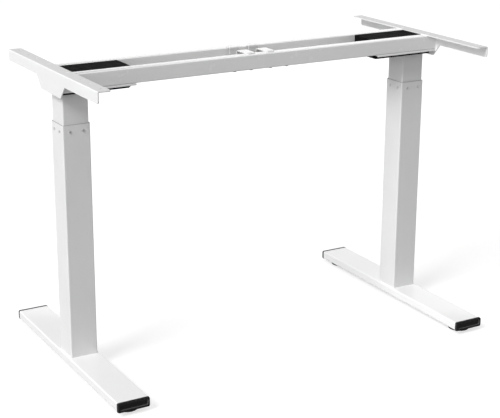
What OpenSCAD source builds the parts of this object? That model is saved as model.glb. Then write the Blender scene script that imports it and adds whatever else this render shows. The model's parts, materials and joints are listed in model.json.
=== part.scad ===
// Electric height-adjustable desk frame: two telescoping legs under a pair of cross rails.
// X runs along the rails, negative Y is the front and Z is up from the floor.
// Each leg is drawn about its own column axis, with X pointing at the middle of the desk.

/* [Overall] */
// Width over the side brackets with the frame pushed together
overall_w = 1150; // [1120:1:1300]
// Height of the legs above their lowest position
raised = 65; // [0:1:200]
// Travel of the legs from lowest to highest
stroke = 480; // [400:1:482]
// Distance from a column's axis to the side bracket's outer face
leg_inset = 51; // [50:0.5:58]

/* [Columns] */
// Side of the square outer tube
column_w = 75; // [66:0.5:80]
// Length of the outer tube
column_len = 634; // [632:1:700]
// Wall of the outer tube
column_wall = 1.5; // [1.2:0.1:1.8]
// Corner radius of both column tubes
column_r = 3; // [2.5:0.25:5]
// Gap between the inner and the outer tube on each side
slide_gap = 1; // [0.8:0.1:1.4]
// Wall of the inner tube
inner_wall = 2; // [1.5:0.1:2.5]
// Gap between the outer tube and the head plate when lowered
low_gap = 29; // [24:1:40]
// Width of a plastic guide pad
pad_w = 46; // [36:1:52]
// Height of a plastic guide pad
pad_h = 50; // [40:1:54]
// Distance of a guide pad from the end of its tube
pad_inset = 4; // [2:0.5:5]
// Gap between a guide pad and the tube that slides on it
pad_gap = 0.15; // [0.1:0.05:0.3]

/* [Feet] */
// Length of a foot without its end caps
foot_len = 680; // [600:1:740]
// Width of a foot
foot_w = 86; // [80:1:100]
// Height of a foot's section
foot_h = 24; // [22:1:30]
// Wall of a foot
foot_wall = 2; // [1.5:0.1:3]
// Corner radius of a foot's section
foot_r = 3.5; // [2.5:0.5:6]
// How far an end cap stands out of the foot
cap_out = 8; // [4:0.5:10]
// How far an end cap's rim stands out over the tube all round
cap_over = 1; // [0:0.1:1.5]
// Length of an end cap's plug inside the foot
cap_plug = 14; // [8:1:16]
// Radius of an end cap's outer edges
cap_r = 4; // [2:0.5:5]
// Wall of an end cap's plug
cap_wall = 2; // [1.5:0.1:3]

/* [Levelling glides] */
// Diameter of a glide's pad
glide_d = 60; // [50:1:70]
// Height of a glide under the foot when it is screwed in
glide_h = 12; // [10:0.5:16]
// Height of the pad's straight rim
glide_rim_h = 7; // [5:0.5:8]
// Radius of the pad's lower edge
glide_r = 1.5; // [1:0.5:3]
// Distance from the foot's end to a glide's axis
glide_inset = 37; // [34:1:60]
// Diameter of a glide's threaded stud
stud_d = 10; // [8:1:12]
// How far a glide can be screwed out
glide_travel = 12; // [8:1:14]

/* [Cross rails] */
// Width of a rail
rail_w = 30; // [26:0.5:34]
// Height of a rail
rail_h = 40; // [38:0.5:46]
// Wall of a rail
rail_wall = 1.5; // [1.2:0.1:2]
// Corner radius of a rail
rail_r = 3; // [1.6:0.2:4]
// Clear width between the front and the rear rail
rail_gap = 90; // [86:1:100]
// Distance from a sleeve's end to the rail bolt beside it
sleeve_end_gap = 46; // [20:1:90]
// Wall of a sleeve
sleeve_wall = 1.5; // [1.2:0.1:2]
// Gap between a sleeve and its rail on each side
sleeve_gap = 0.5; // [0.3:0.1:0.8]

/* [Cross straps] */
// Width of a cross strap
strap_w = 28; // [20:0.5:32]
// Sheet of a cross strap
strap_t = 2.5; // [2:0.1:3]
// Distance from the middle of the desk to a strap's centre line
strap_x = 30; // [20:1:40]
// Length over a strap's two ears
strap_len = 122; // [112:1:134]
// Depth of a strap's sunk middle
strap_drop = 20; // [8:1:24]
// Length of the sunk middle
strap_sink_w = 36; // [20:1:40]
// Length of each sloping step
strap_slope = 4; // [3:0.5:12]
// How far the sunk middle lies behind the strap's middle
strap_shift = 12; // [0:0.5:14]
// Distance of a strap's screws from the strap's middle
strap_screw_y = 53; // [51:0.5:56]
// Corner radius of an ear's end
strap_r = 8; // [3:0.5:10]

/* [Side brackets] */
// Length of a side bracket
bracket_len = 595; // [570:1:640]
// Sheet of a side bracket
bracket_t = 3; // [2.5:0.1:3.5]
// Width of the top flange
flange_w = 35; // [34:0.5:40]
// Height of the side plate
bracket_h = 30; // [26:0.5:34]
// Depth from the top flange to the gusset's lower edge
gusset_h = 63; // [60:0.5:70]
// Width of the gusset at its lower edge
gusset_w = 128; // [116:1:140]
// Width of the gusset where it leaves the side plate
gusset_root_w = 186; // [170:1:200]
// Radius of the side plate's lower end corners
bracket_r = 8; // [4:0.5:12]
// Radius of the flange's end corners
flange_r = 8; // [4:0.5:12]
// Radius of the gusset's lower corners
gusset_r = 5; // [3:0.5:8]
// Distance from the outer face to the line of holes
hole_in = 22; // [20:0.5:24]
// Diameter of a desktop screw hole
desk_hole_d = 7; // [5:0.5:8]
// Distance from the bracket's end to its first desktop hole
desk_hole_end = 27.5; // [20:0.5:40]
// Distance from the first to the second desktop hole
desk_hole_second = 70; // [50:1:90]
// Distance from the second to the third desktop hole
desk_hole_third = 50; // [30:1:60]

/* [Heads] */
// Sheet of a head plate
plate_t = 3; // [2.5:0.1:4]
// Depth of the head plate's folded lips
lip_h = 5.5; // [5:0.5:9]
// Reach of the head plate from the column's axis
head_reach = 152; // [146:1:160]
// Wall of the motor cover and the pan under it
cover_t = 2; // [1.5:0.1:2.5]
// Gap between the motor cover and the rails on each side
cover_gap = 0.4; // [0.3:0.1:1]
// Gap between the motor cover's top and the bracket's flange
cover_drop = 1; // [0.5:0.1:2]
// Width of the pan
pan_w = 100; // [96:1:110]
// Depth of the pan
pan_h = 13; // [11:0.5:14]
// How far the pan's end stands past the head plate
pan_out = 5; // [4:0.5:10]
// Length of the slope under the pan's inner end
pan_slope = 10; // [6:1:16]
// Rise of that slope
pan_rise = 7; // [4:0.5:8]
// Diameter of the lead grommet in the motor cover's end
grommet_d = 12; // [9:0.5:14]

/* [Drives] */
// Diameter of the motor
motor_d = 41; // [36:0.5:42]
// Room between the motor's end and the cover's end wall
motor_room = 10; // [8:1:20]
// Length of the gearbox along the rails
gearbox_len = 80; // [72:1:84]
// Width of the gearbox
gearbox_w = 64; // [56:1:70]
// Height of the gearbox above the head plate
gearbox_h = 34; // [30:0.5:35]
// Diameter of the boss under the gearbox
boss_d = 36; // [34:0.5:40]
// Depth of the boss below the head plate
boss_h = 14; // [12:0.5:18]
// Diameter of the lead screw
screw_d = 16; // [14:0.5:18]
// Diameter of the lead screw's journal
journal_d = 12; // [10:0.5:13]
// Running clearance of the lead screw in its nut and bearing
run_fit = 0.05; // [0.02:0.01:0.1]
// Outer diameter of the bearing
bearing_d = 28; // [26:0.5:30]
// Width of the bearing
bearing_h = 8; // [7:0.5:10]
// Height of the lead screw above the base plate when lowered
screw_clear = 20; // [15:1:30]
// Diameter of the tube that carries the nut
nut_tube_d = 28; // [26:0.5:32]
// Wall of that tube
nut_tube_wall = 2.5; // [2:0.1:3]
// Diameter of the nut
nut_d = 34; // [32:0.5:38]
// Height of the nut above its tube
nut_h = 25; // [20:1:30]
// Thickness of the base plate inside the outer tube
base_t = 6; // [5:0.5:8]

/* [Fasteners] */
// Diameter of the bolts through the foot
foot_bolt_d = 8; // [6:1:8]
// Distance of those bolts from the column's axis, along X and Y
foot_bolt_at = 21; // [20:0.5:23]
// Diameter of the bolts between head plate and rails
rail_bolt_d = 6; // [5:0.5:7]
// Distance of the inner pair of rail bolts from the head plate's end
rail_bolt_edge = 24; // [16:1:42]
// Reach of the outer pair, on the other side of the axis
rail_bolt_out = 36; // [10:1:38]
// Diameter of the screws through the bracket's flange
bracket_screw_d = 6; // [5:0.5:7]
// Diameter of the screws in the strap's ears
strap_screw_d = 5; // [4:0.5:5.5]
// Diameter of the screws that lock the sleeves
lock_screw_d = 6; // [5:0.5:7]
// Distance of the first lock screw from the middle of the desk
lock_first = 30; // [20:1:60]
// Pitch of the lock screws
lock_pitch = 50; // [30:1:80]
// Diameter of the guide pad screws
guide_screw_d = 4; // [3:0.5:4.5]
// Half the distance between two guide pad screws
guide_screw_at = 18; // [12:0.5:19]
// Depth of the guide pad screws below the tube's top
guide_screw_down = 18; // [14:1:24]

/* [Hidden] */
$fn = 48;

// One overrun serves every cut
over = 1;
// Seating clearance between pieces that are welded, pressed or clipped together
seat_gap = 0.2;
// Radial clearance of a bolt in its hole
bolt_gap = 0.2;
// Gap left where a rotating shoulder faces a fixed one
shoulder_gap = 0.3;
// Steps in a quarter-round corner
arc_steps = 6;

// The motor fills the cover but for the room at its end, and the inner pair of rail bolts
// follows the head plate's end
motor_len = head_reach - cover_t - motor_room - gearbox_len / 2;
rail_bolt_in = head_reach - rail_bolt_edge;

// Sides of the desk and ends of the foot
left = -1;
right = 1;
front = -1;
rear = 1;

// Shares of a bolt's diameter, as such bolts are made
head_d_share = 1.75;
head_h_share = 0.55;
low_head_h_share = 0.38;
sunk_head_d_share = 1.7;
sunk_head_h_share = 0.38;
socket_share = 0.62;
socket_h_share = 0.26;
bolt_tail_share = 1.3;
hex_nut_share = 1.9;
hex_nut_h_share = 0.75;

// Shares of a stud's diameter for the boss it turns in, the neck of its pad and its last grip
boss_r_share = 0.8;
boss_end_share = 0.8;
neck_r_share = 1.1;
stud_grip_share = 0.7;

// Shares of the drive's sizes
journal_h_share = 0.5;
motor_h_share = 0.44;
gearbox_r_share = 0.12;
motor_neck_share = 0.08;
motor_neck_d_share = 0.8;
motor_bell_share = 0.2;
motor_bell_d_share = 0.94;
fold_share = 0.8;

// Heights, from the floor up
foot_z = glide_h;
foot_top = foot_z + foot_h;
base_top = foot_top + base_t;
column_top = foot_top + column_len;
plate_z = column_top + low_gap + raised;
rail_z = plate_z + plate_t;
rail_top = rail_z + rail_h;
desk_z = rail_top + bracket_t;
pan_z = plate_z - pan_h;

// Places across the frame
leg_x = overall_w / 2 - leg_inset;
bracket_x = -leg_inset;
rail_end_x = bracket_x + bracket_t;
rail_len = leg_x - rail_end_x;
sleeve_len = 2 * (leg_x - rail_bolt_in - sleeve_end_gap);
rail_y = (rail_gap + rail_w) / 2;
plate_w = rail_gap + 2 * rail_w;
hole_x = bracket_x + hole_in;

// The inner tube and the drive inside it
inner_w = column_w - 2 * (column_wall + slide_gap);
inner_z = base_top + screw_clear + raised;
screw_z = base_top + screw_clear + raised;
nut_spare = 5;
nut_z = base_top + screw_clear + stroke + nut_spare;
spigot_h = 15;
pad_t = slide_gap - pad_gap;
boss_z = rail_z - boss_h;
bearing_z = boss_z + seat_gap;
journal_top = rail_z + gearbox_h * journal_h_share;
motor_z = rail_z + gearbox_h * motor_h_share;

// Moves a leg's pieces to its side of the desk
module on_side(side) {
    translate([side * leg_x, 0, 0])
        mirror([side == right ? 1 : 0, 0, 0])
            children();
}

// Runs an outline drawn in X and Z along the desk's depth, centred
module along_y(len) {
    translate([0, len / 2, 0])
        rotate([90, 0, 0])
            linear_extrude(height = len) children();
}

// Runs an outline drawn in Y and Z along the rails, from x
module along_x(x, len) {
    translate([x, 0, 0])
        rotate([90, 0, 90])
            linear_extrude(height = len) children();
}

// Points of a quarter round about a centre, from angle a
function quarter(cx, cy, r, a) = [
    for (i = [0 : arc_steps])
        [cx + r * cos(a + 90 * i / arc_steps), cy + r * sin(a + 90 * i / arc_steps)]
];

// Points of a round of radius r on the corner at b, between the sides to a and to c
function unit(v) = v / norm(v);
function round_corner(a, b, c, r) =
    let (
        u = unit(a - b),
        v = unit(c - b),
        half = acos(u * v) / 2,
        centre = b + unit(u + v) * r / sin(half),
        start = b + u * r / tan(half),
        end = b + v * r / tan(half)
    )
    [
        for (i = [0 : arc_steps])
            centre + r * unit(start * (1 - i / arc_steps) + end * i / arc_steps - centre)
    ];

// Closed outline with every corner rounded to its own radius
module rounded_outline(points, radii) {
    n = len(points);
    polygon([
        for (i = [0 : n - 1])
            each radii[i] > 0
                ? round_corner(points[(i + n - 1) % n], points[i], points[(i + 1) % n], radii[i])
                : [points[i]]
    ]);
}

module rounded_rect(w, h, r) {
    polygon(concat(
        quarter(w / 2 - r, h / 2 - r, r, 0),
        quarter(-w / 2 + r, h / 2 - r, r, 90),
        quarter(-w / 2 + r, -h / 2 + r, r, 180),
        quarter(w / 2 - r, -h / 2 + r, r, 270)
    ));
}

// Outline of a rolled rectangular tube
module tube_outline(w, h, wall, r) {
    difference() {
        rounded_rect(w, h, r);
        rounded_rect(w - 2 * wall, h - 2 * wall, r - wall);
    }
}

// Bolt that points up from z, with its socket head below
module bolt_up(d, len) {
    head_h = d * head_h_share;
    difference() {
        union() {
            cylinder(d = d, h = len);
            translate([0, 0, -head_h]) cylinder(d = d * head_d_share, h = head_h);
        }
        translate([0, 0, -head_h - over])
            cylinder(d = d * socket_share, h = d * socket_h_share + over, $fn = 6);
    }
}

// Countersunk screw that points down from its flush head
module sunk_screw(d, len) {
    head_h = d * sunk_head_h_share;
    difference() {
        union() {
            translate([0, 0, -len]) cylinder(d = d, h = len);
            translate([0, 0, -head_h])
                cylinder(d1 = d, d2 = d * sunk_head_d_share, h = head_h);
        }
        translate([0, 0, -d * socket_h_share])
            cylinder(d = d * socket_share, h = d * socket_h_share + over, $fn = 6);
    }
}

// Countersunk hole for that screw, open at the top face
module sunk_hole(d, depth) {
    head_h = d * sunk_head_h_share;
    gap = bolt_gap;
    translate([0, 0, -depth - over]) cylinder(r = d / 2 + gap, h = depth + 2 * over);
    translate([0, 0, -head_h - gap])
        cylinder(r1 = d / 2 + gap, r2 = d * sunk_head_d_share / 2 + gap, h = head_h + gap);
    cylinder(r = d * sunk_head_d_share / 2 + gap, h = over);
}

// Foot: a flat tube with a threaded boss for each glide
module foot() {
    boss_r = stud_d * boss_r_share;
    boss_len = foot_h - 2 * foot_wall - stud_d * boss_end_share;
    color("white")
        difference() {
            union() {
                translate([0, 0, foot_z + foot_h / 2])
                    along_y(foot_len) tube_outline(foot_w, foot_h, foot_wall, foot_r);
                for (end = [front, rear])
                    translate([0, end * (foot_len / 2 - glide_inset), foot_z])
                        cylinder(r = boss_r, h = foot_wall + boss_len);
            }
            for (end = [front, rear])
                translate([0, end * (foot_len / 2 - glide_inset), foot_z - over])
                    cylinder(r = stud_d / 2 + run_fit, h = foot_wall + boss_len + 2 * over);
            for (x = [-1, 1], y = [-1, 1])
                translate([x * foot_bolt_at, y * foot_bolt_at, foot_z - over])
                    cylinder(r = foot_bolt_d / 2 + bolt_gap, h = foot_h + 2 * over);
        }
}

// Plastic cap that plugs an end of the foot
module foot_cap(end) {
    plug_w = foot_w - 2 * (foot_wall + seat_gap);
    plug_h = foot_h - 2 * (foot_wall + seat_gap);
    plug_r = foot_r - foot_wall;
    rim_w = foot_w + 2 * cap_over;
    rim_h = foot_h + 2 * cap_over;
    color([0.06, 0.06, 0.06])
        mirror([0, end == rear ? 1 : 0, 0])
            translate([0, -foot_len / 2, foot_z + foot_h / 2]) {
                intersection() {
                    translate([0, cap_out / 2 - cap_out, 0])
                        along_y(cap_out) rounded_rect(rim_w, rim_h, cap_r);
                    translate([0, 0, -foot_h])
                        linear_extrude(height = 2 * foot_h)
                            translate([0, cap_out / 2])
                                rounded_rect(rim_w, 3 * cap_out, cap_r);
                    translate([-foot_w, 0, 0])
                        along_x(0, 2 * foot_w)
                            translate([cap_out / 2, 0])
                                rounded_rect(3 * cap_out, rim_h, cap_r);
                }
                translate([0, cap_plug / 2, 0])
                    along_y(cap_plug) tube_outline(plug_w, plug_h, cap_wall, cap_wall + plug_r);
            }
}

// Square outer tube, with the holes for the guide pad screws
module outer_column() {
    color("white")
        difference() {
            translate([0, 0, foot_top])
                linear_extrude(height = column_len)
                    tube_outline(column_w, column_w, column_wall, column_r);
            guide_screw_holes(column_w / 2 + over);
        }
}

// Holes for the pad screws, from inside the pads out to reach
module guide_screw_holes(reach) {
    for (a = [0 : 90 : 270], s = [-1, 1])
        rotate([0, 0, a])
            translate([0, s * guide_screw_at, column_top - guide_screw_down])
                rotate([0, 90, 0])
                    translate([0, 0, inner_w / 2 - inner_wall])
                        cylinder(r = guide_screw_d / 2 + bolt_gap, h = reach - inner_w / 2 + inner_wall);
}

// Plate welded inside the foot of the outer tube
module base_plate() {
    base_w = column_w - 2 * (column_wall + seat_gap);
    color([0.6, 0.6, 0.62])
        difference() {
            translate([0, 0, foot_top])
                linear_extrude(height = base_t) rounded_rect(base_w, base_w, column_r);
            for (x = [-1, 1], y = [-1, 1])
                translate([x * foot_bolt_at, y * foot_bolt_at, foot_top - over])
                    cylinder(r = foot_bolt_d / 2 + bolt_gap, h = base_t + 2 * over);
        }
}

// Four bolts from under the foot into the base plate
module foot_bolts() {
    color([0.3, 0.3, 0.32])
        for (x = [-1, 1], y = [-1, 1])
            translate([x * foot_bolt_at, y * foot_bolt_at, foot_z])
                bolt_up(foot_bolt_d, foot_h + base_t);
}

// Tube on the base plate that carries the nut
module nut_tube() {
    color([0.7, 0.7, 0.72])
        translate([0, 0, base_top])
            difference() {
                cylinder(d = nut_tube_d, h = nut_z - base_top);
                translate([0, 0, -over])
                    cylinder(d = nut_tube_d - 2 * nut_tube_wall, h = nut_z - base_top + 2 * over);
            }
}

// Flanged nut with its spigot in that tube
module spindle_nut() {
    color([0.85, 0.8, 0.65])
        difference() {
            union() {
                translate([0, 0, nut_z]) cylinder(d = nut_d, h = nut_h);
                translate([0, 0, nut_z - spigot_h])
                    cylinder(r = nut_tube_d / 2 - nut_tube_wall - seat_gap, h = spigot_h);
            }
            translate([0, 0, nut_z - spigot_h - over])
                cylinder(r = screw_d / 2 + run_fit, h = spigot_h + nut_h + 2 * over);
        }
}

// One flat pad on each face of a tube, with its back at distance at
module four_pads(at, z) {
    for (a = [0 : 90 : 270])
        rotate([0, 0, a])
            translate([at, -pad_w / 2, z])
                cube([pad_t, pad_w, pad_h]);
}

// Pads inside the top of the outer tube, held by the pad screws
module guide_pads() {
    color([0.9, 0.9, 0.88])
        difference() {
            four_pads(inner_w / 2 + pad_gap, column_top - pad_inset - pad_h);
            guide_screw_holes(column_w / 2);
        }
}

// Small round-headed screws, two to a face
module guide_screws() {
    head_h = guide_screw_d * low_head_h_share;
    tip = inner_w / 2 + 2 * pad_gap;
    color([0.25, 0.25, 0.27])
        for (a = [0 : 90 : 270], s = [-1, 1])
            rotate([0, 0, a])
                translate([0, s * guide_screw_at, column_top - guide_screw_down])
                    rotate([0, 90, 0]) {
                        translate([0, 0, tip])
                            cylinder(d = guide_screw_d, h = column_w / 2 - tip);
                        translate([0, 0, column_w / 2])
                            difference() {
                                cylinder(d = guide_screw_d * head_d_share, h = head_h);
                                translate([0, 0, head_h / 2])
                                    cylinder(d = guide_screw_d * socket_share, h = head_h, $fn = 6);
                            }
                    }
}

// Pads on the outside of the inner tube's lower end
module slide_pads() {
    color([0.9, 0.9, 0.88])
        four_pads(inner_w / 2, inner_z + pad_inset);
}

// Screw-in glide: a plastic pad moulded on a threaded stud
module glide(end) {
    r = glide_d / 2;
    neck_r = stud_d * neck_r_share;
    stud_len = glide_travel + stud_d * stud_grip_share;
    color([0.1, 0.1, 0.1])
        translate([0, end * (foot_len / 2 - glide_inset), 0])
            rotate_extrude()
                polygon(concat(
                    [[0, 0]],
                    quarter(r - glide_r, glide_r, glide_r, 270),
                    quarter(r - glide_r, glide_rim_h - glide_r, glide_r, 0),
                    [
                        [neck_r, glide_rim_h + glide_r],
                        [neck_r, foot_z],
                        [stud_d / 2, foot_z],
                        [stud_d / 2, foot_z + stud_len],
                        [0, foot_z + stud_len]
                    ]
                ));
}

// Square inner tube, welded under the head plate
module inner_column() {
    color("white")
        translate([0, 0, inner_z])
            linear_extrude(height = plate_z - inner_z)
                tube_outline(inner_w, inner_w, inner_wall, column_r);
}

// Folded plate on the column, with lips along the front and rear
module head_plate() {
    fold_r = plate_t * fold_share;
    window_gap = slide_gap * 2;
    color("white")
        difference() {
            along_x(rail_end_x, head_reach - rail_end_x)
                translate([0, rail_z - lip_h])
                    difference() {
                        polygon(concat(
                            [[-plate_w / 2, 0]],
                            [[plate_w / 2, 0]],
                            quarter(plate_w / 2 - fold_r, lip_h - fold_r, fold_r, 0),
                            quarter(-plate_w / 2 + fold_r, lip_h - fold_r, fold_r, 90)
                        ));
                        translate([-plate_w / 2 + plate_t, -over])
                            square([plate_w - 2 * plate_t, lip_h - plate_t + over]);
                    }
            translate([0, 0, plate_z - over])
                cylinder(r = boss_d / 2 + bolt_gap, h = plate_t + 2 * over);
            translate([gearbox_len / 2 - window_gap, -motor_d / 2 - window_gap, plate_z - over])
                cube([motor_len + 2 * window_gap, motor_d + 2 * window_gap, plate_t + 2 * over]);
            for (x = [-rail_bolt_out, rail_bolt_in], y = [-1, 1])
                translate([x, y * rail_y, plate_z - over])
                    cylinder(r = rail_bolt_d / 2 + bolt_gap, h = plate_t + 2 * over);
        }
}

// Bolts up through the head plate into the rails, with their nuts
module rail_bolts() {
    nut_at = rail_z + rail_wall;
    color([0.3, 0.3, 0.32])
        for (x = [-rail_bolt_out, rail_bolt_in], y = [-1, 1])
            translate([x, y * rail_y, 0]) {
                translate([0, 0, plate_z])
                    bolt_up(rail_bolt_d, plate_t + rail_wall + rail_bolt_d * bolt_tail_share);
                translate([0, 0, nut_at])
                    difference() {
                        cylinder(d = rail_bolt_d * hex_nut_share,
                                 h = rail_bolt_d * hex_nut_h_share, $fn = 6);
                        translate([0, 0, -over])
                            cylinder(r = rail_bolt_d / 2 + bolt_gap / 2,
                                     h = rail_bolt_d * hex_nut_h_share + 2 * over);
                    }
            }
}

// Motor and worm gearbox, one sealed unit that drives the lead screw
module gear_motor() {
    body_r = gearbox_w * gearbox_r_share;
    neck_len = motor_len * motor_neck_share;
    bell_len = motor_len * motor_bell_share;
    color([0.2, 0.2, 0.22])
        difference() {
            union() {
                translate([0, 0, rail_z])
                    linear_extrude(height = gearbox_h)
                        rounded_rect(gearbox_len, gearbox_w, body_r);
                translate([0, 0, boss_z]) cylinder(d = boss_d, h = boss_h + over);
                translate([gearbox_len / 2 - over, 0, motor_z])
                    rotate([0, 90, 0]) {
                        cylinder(d = motor_d * motor_neck_d_share, h = neck_len + over);
                        translate([0, 0, neck_len])
                            cylinder(d = motor_d, h = motor_len - neck_len - bell_len);
                        translate([0, 0, motor_len - bell_len - over])
                            cylinder(d = motor_d * motor_bell_d_share, h = bell_len + over);
                    }
            }
            translate([0, 0, boss_z - over])
                cylinder(r = bearing_d / 2 + seat_gap / 2, h = bearing_h + over + seat_gap);
            translate([0, 0, boss_z])
                cylinder(r = journal_d / 2 + run_fit, h = journal_top + seat_gap - boss_z);
        }
}

// Ball bearing in the boss
module spindle_bearing() {
    color([0.75, 0.75, 0.78])
        translate([0, 0, bearing_z])
            difference() {
                cylinder(d = bearing_d, h = bearing_h);
                translate([0, 0, -over])
                    cylinder(r = journal_d / 2 + run_fit, h = bearing_h + 2 * over);
            }
}

// Lead screw with the journal that runs in the gearbox
module lead_screw() {
    shoulder_z = boss_z - shoulder_gap;
    color([0.65, 0.65, 0.68]) {
        translate([0, 0, screw_z]) cylinder(d = screw_d, h = shoulder_z - screw_z);
        translate([0, 0, screw_z]) cylinder(d = journal_d, h = journal_top - screw_z);
    }
}

// Black cover over the motor, between the rails
module motor_cover() {
    cover_x = rail_end_x + cover_drop;
    cover_len = head_reach - cover_x;
    cover_w = rail_gap - 2 * cover_gap;
    cover_h = rail_h - cover_drop;
    corner = cover_t * 2;
    color([0.08, 0.08, 0.08])
        difference() {
            translate([cover_x + cover_len / 2, 0, rail_z])
                linear_extrude(height = cover_h) rounded_rect(cover_len, cover_w, corner);
            translate([cover_x + cover_len / 2, 0, rail_z - over])
                linear_extrude(height = cover_h - cover_t + over)
                    rounded_rect(cover_len - 2 * cover_t, cover_w - 2 * cover_t, corner - cover_t);
            translate([head_reach - cover_t - over, 0, rail_z + cover_h / 2])
                rotate([0, 90, 0])
                    cylinder(r = grommet_d / 2 + seat_gap, h = cover_t + 2 * over);
        }
}

// Rubber grommet where the motor's lead goes in
module lead_grommet() {
    rim = cover_t;
    color([0.12, 0.12, 0.12])
        translate([head_reach, 0, rail_z + (rail_h - cover_drop) / 2])
            rotate([0, 90, 0])
                difference() {
                    union() {
                        translate([0, 0, -cover_t]) cylinder(d = grommet_d, h = cover_t);
                        cylinder(d = grommet_d + 2 * rim, h = rim);
                    }
                    translate([0, 0, -cover_t - over])
                        cylinder(d = grommet_d - 2 * rim, h = cover_t + rim + 2 * over);
                }
}

// Black pan under the head plate, let in round the column, with a hood past the plate's end
module motor_pan() {
    pan_x = rail_end_x + cover_drop;
    pan_len = head_reach + pan_out - pan_x;
    slope_x = head_reach - pan_slope;
    inside_len = slope_x - pan_x - 2 * cover_t;
    corner = cover_t * 2;
    column_hole = inner_w + 2 * slide_gap;
    color([0.08, 0.08, 0.08])
        difference() {
            union() {
                translate([pan_x + pan_len / 2, 0, pan_z])
                    linear_extrude(height = pan_h) rounded_rect(pan_len, pan_w, corner);
                translate([head_reach + seat_gap, -pan_w / 2 + corner, pan_z])
                    cube([pan_out - seat_gap, pan_w - 2 * corner, rail_z - pan_z]);
            }
            translate([pan_x + inside_len / 2 + cover_t, 0, pan_z + cover_t])
                linear_extrude(height = plate_z - pan_z)
                    rounded_rect(inside_len, pan_w - 2 * cover_t, corner - cover_t);
            along_y(pan_w + 2 * over)
                polygon([
                    [slope_x, pan_z], [slope_x + pan_slope, pan_z + pan_rise],
                    [head_reach + 2 * pan_out, pan_z + pan_rise],
                    [head_reach + 2 * pan_out, pan_z - over], [slope_x, pan_z - over]
                ]);
            translate([0, 0, pan_z - over])
                linear_extrude(height = pan_h + 2 * over)
                    rounded_rect(column_hole, column_hole, column_r);
        }
}

// Half of a cross rail, from the side bracket to the middle of the desk
module rail(end) {
    color("white")
        difference() {
            along_x(rail_end_x, rail_len)
                translate([end * rail_y, rail_z + rail_h / 2])
                    tube_outline(rail_w, rail_h, rail_wall, rail_r);
            for (x = [-rail_bolt_out, rail_bolt_in])
                translate([x, end * rail_y, rail_z - over])
                    cylinder(r = rail_bolt_d / 2 + bolt_gap, h = rail_wall + 2 * over);
            for (i = [0, 1])
                translate([leg_x - lock_first - i * lock_pitch, end * rail_y, rail_z - over])
                    cylinder(r = lock_screw_d / 2 + bolt_gap, h = rail_wall + 2 * over);
            translate([hole_x, end * rail_y, rail_top - rail_wall - over])
                cylinder(r = bracket_screw_d / 2 + bolt_gap, h = rail_wall + 2 * over);
            translate([leg_x - strap_x, end * strap_screw_y, rail_top - rail_wall - over])
                cylinder(r = strap_screw_d / 2 + bolt_gap, h = rail_wall + 2 * over);
        }
}

// Screws from below that lock the sleeves in the rails
module lock_screws() {
    color([0.3, 0.3, 0.32])
        for (i = [0, 1], y = [-1, 1])
            translate([leg_x - lock_first - i * lock_pitch, y * rail_y, rail_z])
                bolt_up(lock_screw_d, rail_wall + sleeve_gap - seat_gap);
}

// Tube inside both halves of a rail
module sleeve(end) {
    sleeve_w = rail_w - 2 * (rail_wall + sleeve_gap);
    sleeve_h = rail_h - 2 * (rail_wall + sleeve_gap);
    color([0.55, 0.55, 0.57])
        along_x(-sleeve_len / 2, sleeve_len)
            translate([end * rail_y, rail_z + rail_h / 2])
                tube_outline(sleeve_w, sleeve_h, sleeve_wall, rail_r);
}

// Pressed strap over both rails, sunk between them
module cross_strap() {
    ear = strap_len / 2;
    sink = strap_sink_w / 2;
    step = sink + strap_slope;
    turn = strap_t * tan(atan(strap_drop / strap_slope) / 2);
    wide = 2 * strap_t;
    tight = strap_t;
    mid = strap_shift;
    color("white")
        difference() {
            intersection() {
                translate([0, 0, rail_top])
                    along_x(leg_x - strap_x - strap_w / 2, strap_w)
                        rounded_outline(
                            [
                                [-ear, 0], [mid - step, 0], [mid - sink, -strap_drop],
                                [mid + sink, -strap_drop], [mid + step, 0], [ear, 0],
                                [ear, strap_t], [mid + step - turn, strap_t],
                                [mid + sink - turn, strap_t - strap_drop],
                                [mid - sink + turn, strap_t - strap_drop],
                                [mid - step + turn, strap_t], [-ear, strap_t]
                            ],
                            [0, tight, wide, wide, tight, 0, 0, wide, tight, tight, wide, 0]
                        );
                translate([leg_x - strap_x, 0, rail_top - 2 * strap_drop])
                    linear_extrude(height = 3 * strap_drop)
                        rounded_rect(strap_w, strap_len, strap_r);
            }
            for (y = [-1, 1])
                translate([leg_x - strap_x, y * strap_screw_y, rail_top + strap_t])
                    sunk_hole(strap_screw_d, strap_t);
        }
}

// Flush screws from the strap's ears into the rails
module strap_screws() {
    color([0.75, 0.75, 0.77])
        for (y = [-1, 1])
            translate([leg_x - strap_x, y * strap_screw_y, rail_top + strap_t])
                sunk_screw(strap_screw_d, strap_t + rail_wall);
}

// Outline of the side plate and its gusset, in Y and Z below the flange
module bracket_plate_outline() {
    end = bracket_len / 2;
    root = gusset_root_w / 2;
    low = gusset_w / 2;
    edge_z = bracket_t - bracket_h;
    low_z = bracket_t - gusset_h;
    rounded_outline(
        [
            [-end, 0], [-end, edge_z], [-root, edge_z], [-low, low_z],
            [low, low_z], [root, edge_z], [end, edge_z], [end, 0]
        ],
        [0, bracket_r, gusset_r, gusset_r, gusset_r, gusset_r, bracket_r, 0]
    );
}

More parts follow.
